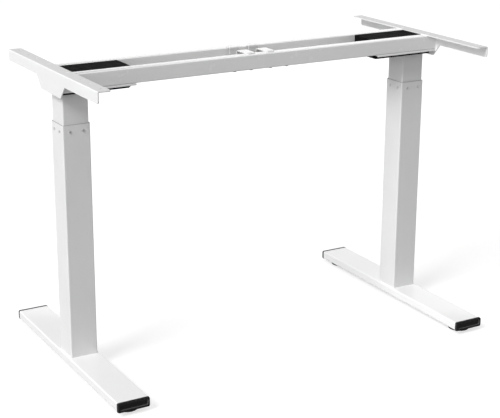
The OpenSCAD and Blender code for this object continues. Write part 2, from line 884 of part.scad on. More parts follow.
// Side bracket: one sheet with a folded flange and a gusset over the column head
module side_bracket() {
    flange_x = bracket_x + bracket_t;
    flange_reach = flange_w - bracket_t;
    end = bracket_len / 2;
    color("white")
        difference() {
            translate([0, 0, desk_z - bracket_t]) {
                along_x(bracket_x, bracket_t) bracket_plate_outline();
                translate([flange_x, 0, 0])
                    along_y(bracket_len)
                        polygon(concat([[0, 0]], quarter(0, 0, bracket_t, 90)));
                translate([flange_x, 0, 0])
                    linear_extrude(height = bracket_t)
                        rounded_outline(
                            [[0, -end], [flange_reach, -end], [flange_reach, end], [0, end]],
                            [0, flange_r, flange_r, 0]
                        );
            }
            for (in = [0, desk_hole_second, desk_hole_second + desk_hole_third], y = [-1, 1])
                translate([hole_x, y * (end - desk_hole_end - in), desk_z - bracket_t - over])
                    cylinder(d = desk_hole_d, h = bracket_t + 2 * over);
            for (y = [-1, 1])
                translate([hole_x, y * rail_y, desk_z])
                    sunk_hole(bracket_screw_d, bracket_t);
        }
}

// Flush screws from the flange into the rails
module bracket_screws() {
    color([0.85, 0.85, 0.86])
        for (y = [-1, 1])
            translate([hole_x, y * rail_y, desk_z])
                sunk_screw(bracket_screw_d, bracket_t + rail_wall + bracket_screw_d);
}

on_side(left) foot();  // left_foot
on_side(left) foot_cap(front);  // left_front_foot_cap
on_side(left) foot_cap(rear);  // left_rear_foot_cap
on_side(left) outer_column();  // left_outer_column
on_side(left) base_plate();  // left_base_plate
on_side(left) foot_bolts();  // left_foot_bolts
on_side(left) nut_tube();  // left_nut_tube
on_side(left) spindle_nut();  // left_spindle_nut
on_side(left) guide_pads();  // left_guide_pads
on_side(left) guide_screws();  // left_guide_screws
on_side(left) glide(front);  // left_front_glide
on_side(left) glide(rear);  // left_rear_glide
on_side(left) inner_column();  // left_inner_column
on_side(left) slide_pads();  // left_slide_pads
on_side(left) head_plate();  // left_head_plate
on_side(left) rail_bolts();  // left_rail_bolts
on_side(left) gear_motor();  // left_gear_motor
on_side(left) spindle_bearing();  // left_spindle_bearing
on_side(left) lead_screw();  // left_lead_screw
on_side(left) motor_cover();  // left_motor_cover
on_side(left) motor_pan();  // left_motor_pan
on_side(left) lead_grommet();  // left_lead_grommet
on_side(left) rail(front);  // left_front_rail
on_side(left) rail(rear);  // left_rear_rail
on_side(left) lock_screws();  // left_lock_screws
on_side(left) cross_strap();  // left_cross_strap
on_side(left) strap_screws();  // left_strap_screws
on_side(left) side_bracket();  // left_side_bracket
on_side(left) bracket_screws();  // left_bracket_screws
sleeve(front);  // front_sleeve
sleeve(rear);  // rear_sleeve
on_side(right) foot();  // right_foot
on_side(right) foot_cap(front);  // right_front_foot_cap
on_side(right) foot_cap(rear);  // right_rear_foot_cap
on_side(right) outer_column();  // right_outer_column
on_side(right) base_plate();  // right_base_plate
on_side(right) foot_bolts();  // right_foot_bolts
on_side(right) nut_tube();  // right_nut_tube
on_side(right) spindle_nut();  // right_spindle_nut
on_side(right) guide_pads();  // right_guide_pads
on_side(right) guide_screws();  // right_guide_screws
on_side(right) glide(front);  // right_front_glide
on_side(right) glide(rear);  // right_rear_glide
on_side(right) inner_column();  // right_inner_column
on_side(right) slide_pads();  // right_slide_pads
on_side(right) head_plate();  // right_head_plate
on_side(right) rail_bolts();  // right_rail_bolts
on_side(right) gear_motor();  // right_gear_motor
on_side(right) spindle_bearing();  // right_spindle_bearing
on_side(right) lead_screw();  // right_lead_screw
on_side(right) motor_cover();  // right_motor_cover
on_side(right) motor_pan();  // right_motor_pan
on_side(right) lead_grommet();  // right_lead_grommet
on_side(right) rail(front);  // right_front_rail
on_side(right) rail(rear);  // right_rear_rail
on_side(right) lock_screws();  // right_lock_screws
on_side(right) cross_strap();  // right_cross_strap
on_side(right) strap_screws();  // right_strap_screws
on_side(right) side_bracket();  // right_side_bracket
on_side(right) bracket_screws();  // right_bracket_screws
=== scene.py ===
import json
import math
import bpy
import bmesh
from mathutils import Matrix, Vector

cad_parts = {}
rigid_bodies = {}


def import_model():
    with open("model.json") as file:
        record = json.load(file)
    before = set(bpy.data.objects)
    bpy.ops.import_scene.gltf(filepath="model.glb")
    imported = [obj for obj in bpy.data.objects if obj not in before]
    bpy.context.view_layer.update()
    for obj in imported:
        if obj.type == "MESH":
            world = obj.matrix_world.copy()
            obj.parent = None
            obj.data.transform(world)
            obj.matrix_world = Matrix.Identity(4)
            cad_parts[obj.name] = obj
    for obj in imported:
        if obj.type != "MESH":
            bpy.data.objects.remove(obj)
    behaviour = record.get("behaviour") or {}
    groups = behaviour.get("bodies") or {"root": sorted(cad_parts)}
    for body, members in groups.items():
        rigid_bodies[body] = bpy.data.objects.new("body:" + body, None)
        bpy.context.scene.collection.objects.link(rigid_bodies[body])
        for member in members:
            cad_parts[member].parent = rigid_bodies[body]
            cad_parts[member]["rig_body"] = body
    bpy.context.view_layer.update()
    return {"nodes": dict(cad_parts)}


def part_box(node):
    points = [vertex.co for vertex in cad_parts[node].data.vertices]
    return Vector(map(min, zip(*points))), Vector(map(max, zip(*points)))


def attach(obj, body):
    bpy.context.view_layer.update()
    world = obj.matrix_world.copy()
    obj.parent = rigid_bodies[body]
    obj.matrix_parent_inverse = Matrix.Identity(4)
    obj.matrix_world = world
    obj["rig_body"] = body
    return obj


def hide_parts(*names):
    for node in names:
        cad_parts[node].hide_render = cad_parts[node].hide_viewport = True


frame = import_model()


# The view
# The camera stands at the left front, a little above the frame, where the photograph
# was taken. Its lens and shift come from the straight edges of the frame itself.
camera_spot = (-1.7308, -2.9910, 1.4679)
# Angles down from the level and to the right, in radians; lens and film in millimetres
camera_tilt, camera_turn = 0.3031, 0.5069
camera_lens, camera_film = 93.24, 36
camera_shift = (0.0464, -0.0231)
view_end = 60


def put_in_scene(name, data):
    thing = bpy.data.objects.new(name, data)
    bpy.context.scene.collection.objects.link(thing)
    return thing


camera = put_in_scene("camera", bpy.data.cameras.new("camera"))
bpy.context.scene.camera = camera
camera.location = camera_spot
camera.rotation_euler = (math.pi / 2 - camera_tilt, 0, -camera_turn)
camera.data.sensor_width = camera_film
camera.data.lens = camera_lens
camera.data.shift_x, camera.data.shift_y = camera_shift
camera.data.clip_end = view_end
bpy.context.scene.view_settings.view_transform = "Standard"


# The room
# A pale floor under a white surround. A broad soft key stands high on the left and a lower
# one fills the faces turned to it. A box overhead lifts the tops a little, and a long low
# box behind shines along the rails.
floor_reach, floor_sides = 25, 96
floor_tone, floor_glow = 0.42, 0.67
# Strength of the surround as light, as a reflection and as the white background
surround_light, surround_in_gloss, surround_seen = 0.36, 0.1, 1.0


def material_with(name):
    made = bpy.data.materials.new(name)
    made.use_nodes = True
    made.node_tree.nodes.clear()
    return made, made.node_tree.nodes, made.node_tree.links


floor_mesh = bpy.data.meshes.new("floor")
shape = bmesh.new()
bmesh.ops.create_circle(shape, cap_ends=True, segments=floor_sides, radius=floor_reach)
shape.to_mesh(floor_mesh)
shape.free()
floor = put_in_scene("floor", floor_mesh)

# The glow is for the camera alone, and the floor is clear from below
floor_paint, place, join = material_with("pale_floor")
seen = place.new("ShaderNodeLightPath")
facing = place.new("ShaderNodeNewGeometry")
matt = place.new("ShaderNodeBsdfDiffuse")
matt.inputs["Color"].default_value = (floor_tone, floor_tone, floor_tone, 1)
glow = place.new("ShaderNodeEmission")
glow.inputs["Strength"].default_value = floor_glow
clear = place.new("ShaderNodeBsdfTransparent")
by_camera = place.new("ShaderNodeMixShader")
together = place.new("ShaderNodeAddShader")
from_above = place.new("ShaderNodeMixShader")
floor_out = place.new("ShaderNodeOutputMaterial")
join.new(seen.outputs["Is Camera Ray"], by_camera.inputs["Fac"])
join.new(glow.outputs["Emission"], by_camera.inputs[2])
join.new(matt.outputs["BSDF"], together.inputs[0])
join.new(by_camera.outputs["Shader"], together.inputs[1])
join.new(facing.outputs["Backfacing"], from_above.inputs["Fac"])
join.new(together.outputs["Shader"], from_above.inputs[1])
join.new(clear.outputs["BSDF"], from_above.inputs[2])
join.new(from_above.outputs["Shader"], floor_out.inputs["Surface"])
floor_mesh.materials.append(floor_paint)

world = bpy.data.worlds.new("white_surround")
bpy.context.scene.world = world
world.use_nodes = True
place, join = world.node_tree.nodes, world.node_tree.links
place.clear()
seen = place.new("ShaderNodeLightPath")
soft = place.new("ShaderNodeBackground")
soft.inputs["Strength"].default_value = surround_light
dim = place.new("ShaderNodeBackground")
dim.inputs["Strength"].default_value = surround_in_gloss
white = place.new("ShaderNodeBackground")
white.inputs["Strength"].default_value = surround_seen
in_gloss = place.new("ShaderNodeMixShader")
choose = place.new("ShaderNodeMixShader")
world_out = place.new("ShaderNodeOutputWorld")
join.new(seen.outputs["Is Glossy Ray"], in_gloss.inputs["Fac"])
join.new(soft.outputs["Background"], in_gloss.inputs[1])
join.new(dim.outputs["Background"], in_gloss.inputs[2])
join.new(seen.outputs["Is Camera Ray"], choose.inputs["Fac"])
join.new(in_gloss.outputs["Shader"], choose.inputs[1])
join.new(white.outputs["Background"], choose.inputs[2])
join.new(choose.outputs["Shader"], world_out.inputs["Surface"])


def soft_sun(name, toward, strength, spread):
    lamp = bpy.data.lights.new(name, "SUN")
    lamp.energy = strength
    lamp.angle = math.radians(spread)
    stand = put_in_scene(name, lamp)
    stand.rotation_euler = Vector(toward).to_track_quat("-Z", "Y").to_euler()


def soft_box(name, wide, deep, power, spot, tip=0, turn=0):
    lamp = bpy.data.lights.new(name, "AREA")
    lamp.shape = "RECTANGLE"
    lamp.size, lamp.size_y = wide, deep
    lamp.energy = power
    stand = put_in_scene(name, lamp)
    stand.location = spot
    stand.rotation_euler = (math.radians(tip), 0, math.radians(turn))
    stand.visible_camera = False


soft_sun("key", toward=(0.94, 0.27, -0.92), strength=2.45, spread=28)
soft_sun("low_fill", toward=(0.94, 0.36, -0.1), strength=0.9, spread=40)
soft_box("top_box", wide=3.0, deep=2.4, power=12, spot=(0.0, 0.0, 2.6))
soft_box("rear_box", wide=9.0, deep=1.5, power=48, spot=(1.94, 3.5, 0.95), tip=90, turn=151)


# Powder coat
# The white finish of every tube and sheet: polyester powder, baked on, with a fine orange-peel
# skin. Its edges are painted a shade brighter, as a painted highlight.
nodes = frame["nodes"]


def grey(tone):
    return (tone, tone, tone)


def feed(join, value, socket):
    """Links a socket to another's output, or sets it to a plain value."""
    if isinstance(value, bpy.types.NodeSocket):
        join.new(value, socket)
    else:
        socket.default_value = value


def new_group(name, inputs, outputs):
    group = bpy.data.node_groups.new(name, "ShaderNodeTree")
    for label, kind, value in inputs:
        socket = group.interface.new_socket(label, in_out="INPUT", socket_type=kind)
        socket.default_value = value
    for label, kind in outputs:
        group.interface.new_socket(label, in_out="OUTPUT", socket_type=kind)
    group_in = group.nodes.new("NodeGroupInput")
    group_out = group.nodes.new("NodeGroupOutput")
    return group, group.nodes, group.links, group_in, group_out


def noise_at(place, join, coords, scale, detail):
    noise = place.new("ShaderNodeTexNoise")
    noise.inputs["Detail"].default_value = detail
    noise.inputs["Roughness"].default_value = 0.5
    feed(join, scale, noise.inputs["Scale"])
    join.new(coords, noise.inputs["Vector"])
    return noise.outputs["Fac"]


def between(place, join, factor, low, high):
    """Spreads the middle of a noise over the span from low to high."""
    spread = place.new("ShaderNodeMapRange")
    spread.inputs["From Min"].default_value = 0.3
    spread.inputs["From Max"].default_value = 0.7
    feed(join, low, spread.inputs["To Min"])
    feed(join, high, spread.inputs["To Max"])
    join.new(factor, spread.inputs["Value"])
    return spread.outputs["Result"]


def mixed(place, join, factor, first, second):
    """A colour between two others."""
    mix = place.new("ShaderNodeMix")
    mix.data_type = "RGBA"
    join.new(factor, mix.inputs["Factor"])
    feed(join, first, mix.inputs["A"])
    feed(join, second, mix.inputs["B"])
    return mix.outputs["Result"]


def surface_skin():
    """Cloudy tone, uneven gloss and fine grain over any finish."""
    skin, place, join, given, result = new_group(
        "surface_skin",
        (("Colour", "NodeSocketColor", (0.8, 0.8, 0.8, 1)),
         ("Deep Colour", "NodeSocketColor", (0.7, 0.7, 0.7, 1)),
         ("Low Roughness", "NodeSocketFloat", 0.4),
         ("High Roughness", "NodeSocketFloat", 0.5),
         ("Grain Scale", "NodeSocketFloat", 900.0)),
        (("Colour", "NodeSocketColor"), ("Roughness", "NodeSocketFloat"),
         ("Height", "NodeSocketFloat")))
    coords = place.new("ShaderNodeTexCoord").outputs["Object"]
    cloud = noise_at(place, join, coords, scale=7.0, detail=3.0)
    patch = noise_at(place, join, coords, scale=45.0, detail=2.0)
    grain = noise_at(place, join, coords, scale=given.outputs["Grain Scale"], detail=2.0)
    tint = mixed(place, join, between(place, join, cloud, 0.0, 1.0),
                 given.outputs["Deep Colour"], given.outputs["Colour"])
    gloss = between(place, join, patch, given.outputs["Low Roughness"],
                    given.outputs["High Roughness"])
    join.new(tint, result.inputs["Colour"])
    join.new(gloss, result.inputs["Roughness"])
    join.new(grain, result.inputs["Height"])
    return skin


def edge_highlight_mask():
    """White along a piece's edges, nothing on its flats: the mask of the painted edge highlight.
    """
    mask, place, join, given, result = new_group(
        "edge_highlight_mask",
        (("Strength", "NodeSocketFloat", 1.0),),
        (("Mask", "NodeSocketFloat"),))
    rounded = place.new("ShaderNodeBevel")
    rounded.samples = 4
    rounded.inputs["Radius"].default_value = 0.0016
    flat = place.new("ShaderNodeNewGeometry")
    same = place.new("ShaderNodeVectorMath")
    same.operation = "DOT_PRODUCT"
    join.new(rounded.outputs["Normal"], same.inputs[0])
    join.new(flat.outputs["Normal"], same.inputs[1])
    bent = place.new("ShaderNodeMapRange")
    bent.inputs["From Min"].default_value = 1.0
    bent.inputs["From Max"].default_value = 0.75
    bent.inputs["To Min"].default_value = 0.0
    join.new(same.outputs["Value"], bent.inputs["Value"])
    join.new(given.outputs["Strength"], bent.inputs["To Max"])
    join.new(bent.outputs["Result"], result.inputs["Mask"])
    return mask


skin_group = surface_skin()
edge_group = edge_highlight_mask()


def coated(name, colour, deep, edge, rough, grain, relief, edge_highlight,
           metallic=0.0, coat=0.0, level=0.5, top=None):
    """A finish of skin, painted edge highlights and fine grain; shader constants stay on its own
    sockets. top is a height and the painted shade colour of what lies above it."""
    made, place, join = material_with(name)
    skin = place.new("ShaderNodeGroup")
    skin.node_tree = skin_group
    skin.inputs["Colour"].default_value = (*colour, 1)
    skin.inputs["Deep Colour"].default_value = (*deep, 1)
    skin.inputs["Low Roughness"].default_value, skin.inputs["High Roughness"].default_value = rough
    skin.inputs["Grain Scale"].default_value = grain
    edges = place.new("ShaderNodeGroup")
    edges.node_tree = edge_group
    edges.inputs["Strength"].default_value = edge_highlight
    # The edge colour is a painted highlight, laid along the edges by the mask
    tone = mixed(place, join, edges.outputs["Mask"], skin.outputs["Colour"], (*edge, 1))
    peel = place.new("ShaderNodeBump")
    peel.inputs["Strength"].default_value = 0.25
    peel.inputs["Distance"].default_value = relief
    join.new(skin.outputs["Height"], peel.inputs["Height"])
    shader = place.new("ShaderNodeBsdfPrincipled")
    shader.inputs["Metallic"].default_value = metallic
    shader.inputs["Specular IOR Level"].default_value = level
    shader.inputs["Coat Weight"].default_value = coat
    shader.inputs["Coat Roughness"].default_value = 0.06
    # Above the given height the colour is painted shade
    if top:
        spot = place.new("ShaderNodeSeparateXYZ")
        join.new(place.new("ShaderNodeTexCoord").outputs["Object"], spot.inputs["Vector"])
        above = place.new("ShaderNodeMath")
        above.operation = "GREATER_THAN"
        above.inputs[1].default_value = top[0]
        join.new(spot.outputs["Z"], above.inputs[0])
        tone = mixed(place, join, above.outputs["Value"], tone, (*top[1], 1))
    join.new(tone, shader.inputs["Base Color"])
    join.new(skin.outputs["Roughness"], shader.inputs["Roughness"])
    join.new(peel.outputs["Normal"], shader.inputs["Normal"])
    out = place.new("ShaderNodeOutputMaterial")
    join.new(shader.outputs["BSDF"], out.inputs["Surface"])
    return made


def mesh_of(shape, node):
    """The finished shape as the mesh that is shown for a node."""
    mesh = bpy.data.meshes.new(node + "_shown")
    shape.to_mesh(mesh)
    shape.free()
    return mesh


def place_piece(mesh, node, material, sharp_from=32):
    """Puts a finished mesh on its node's body, in that node's stead."""
    mesh.materials.clear()
    mesh.materials.append(material)
    mesh.polygons.foreach_set("use_smooth", [True] * len(mesh.polygons))
    mesh.set_sharp_from_angle(angle=math.radians(sharp_from))
    mesh.update()
    piece = put_in_scene(node + "_shown", mesh)
    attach(piece, nodes[node]["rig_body"])
    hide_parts(node)
    even = piece.modifiers.new("even_shading", "WEIGHTED_NORMAL")
    even.keep_sharp = True
    return piece


def eased(node, material, edge, steps=2, weld=2e-6, flat_within=0.5, cut_from=40):
    """The CAD piece with its triangles joined and its cut edges rounded, as a deburred and
    coated edge is. Angles are in degrees."""
    shape = bmesh.new()
    shape.from_mesh(nodes[node].data)
    bmesh.ops.remove_doubles(shape, verts=shape.verts, dist=weld)
    bmesh.ops.dissolve_limit(shape, angle_limit=math.radians(flat_within), verts=shape.verts,
                             edges=shape.edges)
    cut = [e for e in shape.edges
           if len(e.link_faces) == 2 and e.calc_face_angle(0) > math.radians(cut_from)]
    if edge and cut:
        bmesh.ops.bevel(shape, geom=cut, offset=edge, offset_type="OFFSET", segments=steps,
                        profile=0.5, affect="EDGES", clamp_overlap=True)
    return place_piece(mesh_of(shape, node), node, material)


# Feet
# Flat rectangular tube, sawn to length, with a threaded boss welded in for each glide.
# White powder coat all over, painted a brighter white than the columns' coat as painted light on
# the feet; the caps hide the sawn ends.
sides = ("left", "right")
foot_coat = coated("white_foot_coat", colour=grey(0.94), deep=grey(0.92), edge=grey(0.97),
                   rough=(0.34, 0.42), grain=900, relief=0.00002, edge_highlight=0.8, coat=0.7, level=0.3)
for side in sides:
    eased(side + "_foot", foot_coat, edge=0.0003)


# Foot caps
# Injection-moulded black plugs pushed into the sawn ends: a rim that stands a little over
# the tube, a groove, then a soft-cornered end with a sunk panel in it.
ends = ("front", "rear")
moulded_black = coated("moulded_black", colour=(0.008, 0.008, 0.0085),
                       deep=(0.005, 0.005, 0.0055), edge=(0.16, 0.16, 0.165),
                       rough=(0.3, 0.4), grain=2200, relief=0.00005, edge_highlight=0.9, level=0.25)
# The panel wall's lighter grey is a painted highlight; its lower roughness is real gloss
cap_wall_highlight = coated("moulded_lip", colour=(0.09, 0.09, 0.092), deep=(0.08, 0.08, 0.082),
                 edge=(0.16, 0.16, 0.165), rough=(0.2, 0.25), grain=2200, relief=0.00002,
                 edge_highlight=0.5)
cap_rings = (
    # how far the ring lies inside the rim, its corner radius, distance out from the tube, rise
    (0.0036, 0.0012, -0.0010, 0), (0.0034, 0.0014, -0.0132, 0), (0.0030, 0.0016, -0.0139, 0),
    (0.0026, 0.0018, -0.0139, 0), (0.0032, 0.0016, 0.0000, 0), (0.0004, 0.0036, 0.0000, 0),
    (0.0000, 0.0040, 0.0003, 0), (0.0000, 0.0040, 0.0016, 0), (0.0003, 0.0038, 0.0019, 0),
    (0.0012, 0.0034, 0.0021, 0), (0.0012, 0.0034, 0.0026, 0), (0.0003, 0.0038, 0.0029, 0),
    (0.0001, 0.0040, 0.0033, 0), (0.0003, 0.0042, 0.0058, 0), (0.0009, 0.0046, 0.0072, 0),
    (0.0020, 0.0046, 0.0079, 0), (0.0034, 0.0044, 0.0080, 0.0004),
    (0.0048, 0.0042, 0.0079, 0.0012), (0.0053, 0.0040, 0.0075, 0.0012),
    (0.0062, 0.0036, 0.0042, 0.0012), (0.0068, 0.0032, 0.0038, 0.0012),
    (0.0078, 0.0028, 0.0037, 0.0012),
)
# The ring from which the sunk panel's wall goes to the next one. That wall is glossier and painted
# lighter, as a painted highlight line.
panel_wall = 18


def rounded_ring(shape, wide, high, radius, at, steps=6):
    """One ring of a rounded rectangle in X and Z, as vertices at a place along Y."""
    ring = []
    for corner, (sx, sz) in enumerate(((1, 1), (-1, 1), (-1, -1), (1, -1))):
        for i in range(steps + 1):
            a = math.pi / 2 * (corner + i / steps)
            ring.append(shape.verts.new((
                sx * (wide / 2 - radius) + radius * math.cos(a), at,
                sz * (high / 2 - radius) + radius * math.sin(a))))
    return ring


def skinned(shape, rings):
    """Faces from each ring to the next, with the first and the last ring closed."""
    for a, b in zip(rings, rings[1:]):
        n = len(a)
        for i in range(n):
            shape.faces.new((a[i], a[(i + 1) % n], b[(i + 1) % n], b[i]))
    shape.faces.new(list(reversed(rings[0])))
    shape.faces.new(rings[-1])
    bmesh.ops.recalc_face_normals(shape, faces=shape.faces)


for side in sides:
    for end in ends:
        node = f"{side}_{end}_foot_cap"
        low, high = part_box(node)
        middle = (low + high) / 2
        wide, tall = high.x - low.x, high.z - low.z
        out = -1 if end == "front" else 1
        tube_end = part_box(side + "_foot")[ends.index(end)].y
        shape = bmesh.new()
        rings = []
        for inset, radius, far, rise in cap_rings:
            ring = rounded_ring(shape, wide - 2 * inset, tall - 2 * inset, radius,
                                tube_end + out * far)
            bmesh.ops.translate(shape, verts=ring, vec=(middle.x, 0, middle.z + rise))
            rings.append(ring)
        skinned(shape, rings)
        mesh = mesh_of(shape, node)
        place_piece(mesh, node, moulded_black)
        mesh.materials.append(cap_wall_highlight)
        around = len(rings[0])
        for face in mesh.polygons[panel_wall * around:(panel_wall + 1) * around]:
            face.material_index = 1


# Levelling glides
# A black nylon pad moulded round the head of a 10 mm stud, with flutes for the fingers.
# The stud screws up into the foot, so the desk can be set level.
glide_facets, flutes = 80, 20
stud_radius, stud_cut, stud_pitch = 0.005, 0.0006, 0.0015
stud_low, stud_high, stud_steps = 0.0122, 0.0307, 148


def turned(rings, around, axis):
    """Skins the rings of a turned piece; each gives its height and a radius for an angle."""
    shape = bmesh.new()
    angles = [2 * math.pi * i / around for i in range(around)]
    skinned(shape, [[shape.verts.new((axis.x + radius(angle, z) * math.cos(angle),
                                      axis.y + radius(angle, z) * math.sin(angle), z))
                     for angle in angles] for z, radius in rings])
    return shape


def plain(radius):
    return lambda angle, z: radius


def fluted(radius, depth):
    return lambda angle, z: radius - depth * (0.5 - 0.5 * math.cos(flutes * angle)) ** 2


def thread(radius, depth, pitch, starts=1, steepness=2.2, crest=0.6):
    """A radius that winds: flat crests and roots with steep flanks between them."""
    def at(angle, z):
        turn = (z / pitch - starts * angle / (2 * math.pi)) % 1
        return radius - depth * min(1, max(0, steepness * abs(2 * turn - 1) - crest))
    return at


stud_rings = [(stud_low + (stud_high - stud_low) * i / stud_steps,
               thread(stud_radius, stud_cut, stud_pitch)) for i in range(stud_steps + 1)]
glide_rings = [
    # height over the floor, radius
    (0.0008, plain(0.0240)), (0.0000, plain(0.0246)), (0.0000, plain(0.0280)),
    (0.0002, fluted(0.0290, 0.0006)), (0.0008, fluted(0.0298, 0.0012)),
    (0.0016, fluted(0.0300, 0.0014)), (0.0055, fluted(0.0300, 0.0014)),
    (0.0064, fluted(0.0298, 0.0012)), (0.0069, fluted(0.0290, 0.0006)),
    (0.0071, plain(0.0278)), (0.0078, plain(0.0180)), (0.0086, plain(0.0122)),
    (0.0096, plain(0.0112)), (0.0116, plain(0.0110)), (0.0119, plain(0.0106)),
    (0.0120, plain(0.0100)), (0.0120, plain(0.0052)), (0.0121, plain(stud_radius)),
] + stud_rings + [(0.0310, plain(0.0042))]
for side in sides:
    for end in ends:
        node = f"{side}_{end}_glide"
        low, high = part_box(node)
        shape = turned(glide_rings, glide_facets, (low + high) / 2)
        place_piece(mesh_of(shape, node), node, moulded_black)


# Columns
# Square steel tube, cold-rolled with small corner radii, cut square and powder-coated.
# The inner tube slides in the outer one. A fine dark band of painted shade runs round the outer
# one's mouth, where the gap between the tubes lies.
mouth_shade_band, mouth_shade_tone = 0.0006, grey(0.33)
column_finish = dict(colour=grey(0.83), deep=grey(0.8), edge=grey(0.97), rough=(0.42, 0.52),
                     grain=1100, relief=0.0002, edge_highlight=1.0)
powder_coat = coated("white_powder_coat", **column_finish)
# The outer tube's top band is painted dark, as painted shade in the gap between the tubes
outer_coat = coated("white_outer_coat", **column_finish,
                    top=(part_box("left_outer_column")[1].z - mouth_shade_band, mouth_shade_tone))
for side in sides:
    eased(side + "_outer_column", outer_coat, edge=0.0004)
    eased(side + "_inner_column", powder_coat, edge=0.0004)


# Base plates, nut tubes and bearings
# Plain steel, never seen from outside and left bare: a drilled plate in the outer column's
# foot, the drawn tube on it that carries the nut, and the bearing in the gearbox's boss.
def drawn_streaks():
    """Long streaks on bare drawn or turned steel, along the axis that is stretched least."""
    steel, place, join, given, result = new_group(
        "drawn_streaks",
        (("Colour", "NodeSocketColor", (0.5, 0.5, 0.5, 1)),
         ("Dark Colour", "NodeSocketColor", (0.3, 0.3, 0.3, 1)),
         ("Stretch", "NodeSocketVector", (400.0, 400.0, 14.0))),
        (("Colour", "NodeSocketColor"), ("Roughness", "NodeSocketFloat"),
         ("Height", "NodeSocketFloat")))
    coords = place.new("ShaderNodeTexCoord").outputs["Object"]
    drawn = place.new("ShaderNodeMapping")
    join.new(coords, drawn.inputs["Vector"])
    join.new(given.outputs["Stretch"], drawn.inputs["Scale"])
    streak = noise_at(place, join, drawn.outputs["Vector"], scale=1.0, detail=4.0)
    stain = noise_at(place, join, coords, scale=12.0, detail=3.0)
    tint = mixed(place, join, between(place, join, stain, 0.0, 1.0),
                 given.outputs["Dark Colour"], given.outputs["Colour"])
    join.new(tint, result.inputs["Colour"])
    join.new(between(place, join, streak, 0.28, 0.46), result.inputs["Roughness"])
    join.new(streak, result.inputs["Height"])
    return steel


streak_group = drawn_streaks()


def bare_metal(name, colour, dark_colour, stretch):
    made, place, join = material_with(name)
    streaks = place.new("ShaderNodeGroup")
    streaks.node_tree = streak_group
    streaks.inputs["Colour"].default_value = (*colour, 1)
    streaks.inputs["Dark Colour"].default_value = (*dark_colour, 1)
    streaks.inputs["Stretch"].default_value = stretch
    lines = place.new("ShaderNodeBump")
    lines.inputs["Strength"].default_value = 0.15
    lines.inputs["Distance"].default_value = 0.0001
    shader = place.new("ShaderNodeBsdfPrincipled")
    shader.inputs["Metallic"].default_value = 1.0
    out = place.new("ShaderNodeOutputMaterial")
    join.new(streaks.outputs["Height"], lines.inputs["Height"])
    join.new(streaks.outputs["Colour"], shader.inputs["Base Color"])
    join.new(streaks.outputs["Roughness"], shader.inputs["Roughness"])
    join.new(lines.outputs["Normal"], shader.inputs["Normal"])
    join.new(shader.outputs["BSDF"], out.inputs["Surface"])
    return made


drawn_steel = bare_metal("drawn_steel", colour=(0.56, 0.56, 0.57),
                         dark_colour=(0.4, 0.4, 0.41), stretch=(400, 400, 14))
for side in sides:
    eased(side + "_base_plate", drawn_steel, edge=0.0004)
    eased(side + "_nut_tube", drawn_steel, edge=0.0003)
    eased(side + "_spindle_bearing", drawn_steel, edge=0.0005)


# Lead screws
# Rolled steel spindle with a four-start thread of 16 mm lead, turned down to a 12 mm
# journal at the top, where it runs in the gearbox.
shank_radius, journal_radius, relief_radius = 0.0080, 0.0060, 0.0070
crest_gap, thread_starts, thread_cut = 0.004, 4, 0.0011
bare_tip, bare_neck, ring_gap, screw_facets = 0.002, 0.02, 0.0005, 32
tip_high, tip_in, shoulder_ease, journal_ease = 0.0014, 0.0005, 0.0006, 0.0008
relief_low, relief_high, relief_end = 0.001, 0.003, 0.004
bearing_play = 0.0005
root_radius = shank_radius - thread_cut
for side in sides:
    node = side + "_lead_screw"
    low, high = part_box(node)
    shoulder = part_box(side + "_spindle_bearing")[0].z - bearing_play
    start, stop = low.z + bare_tip, shoulder - bare_neck
    winding = thread(shank_radius, thread_cut, crest_gap, thread_starts)
    count = int((stop - start) / ring_gap)
    rings = [(low.z, plain(root_radius - tip_in)), (low.z + tip_high, plain(root_radius))]
    rings += [(start + (stop - start) * i / count, winding) for i in range(count + 1)]
    rings += [(stop + relief_low, plain(relief_radius)),
              (stop + relief_high, plain(relief_radius)),
              (stop + relief_end, plain(shank_radius)),
              (shoulder - shoulder_ease, plain(shank_radius)),
              (shoulder, plain(shank_radius - shoulder_ease)),
              (shoulder, plain(journal_radius)),
              (high.z - journal_ease, plain(journal_radius)),
              (high.z, plain(journal_radius - journal_ease))]
    shape = turned(rings, screw_facets, (low + high) / 2)
    place_piece(mesh_of(shape, node), node, drawn_steel)


# Nuts and pads
# Acetal nut on top of the nut tube, and flat acetal pads that keep the inner tube from
# rattling in the outer one.
pale_acetal = coated("pale_acetal", colour=(0.78, 0.77, 0.72), deep=(0.74, 0.73, 0.67),
                     edge=(0.84, 0.83, 0.8), rough=(0.36, 0.46), grain=1500, relief=0.00005,
                     edge_highlight=0.4)
for side in sides:
    eased(side + "_spindle_nut", pale_acetal, edge=0.0006)
    eased(side + "_guide_pads", pale_acetal, edge=0.0001)
    eased(side + "_slide_pads", pale_acetal, edge=0.0001)


# Head plates
# Folded 3 mm sheet with a lip down the front and the rear, welded on the inner column
# and coated with it. The rails are bolted down on it.
for side in sides:
    eased(side + "_head_plate", powder_coat, edge=0.0004)


# Drives
# One sealed unit on each head: a die-cast worm gearbox and a motor lying along the rails,
# painted dark, out of sight under the cover.
motor_paint = coated("dark_motor_paint", colour=(0.09, 0.09, 0.095), deep=(0.07, 0.07, 0.075),
                     edge=grey(0.2), rough=(0.42, 0.55), grain=700, relief=0.0002, edge_highlight=0.7)
for side in sides:
    eased(side + "_gear_motor", motor_paint, edge=0.0008, steps=3)


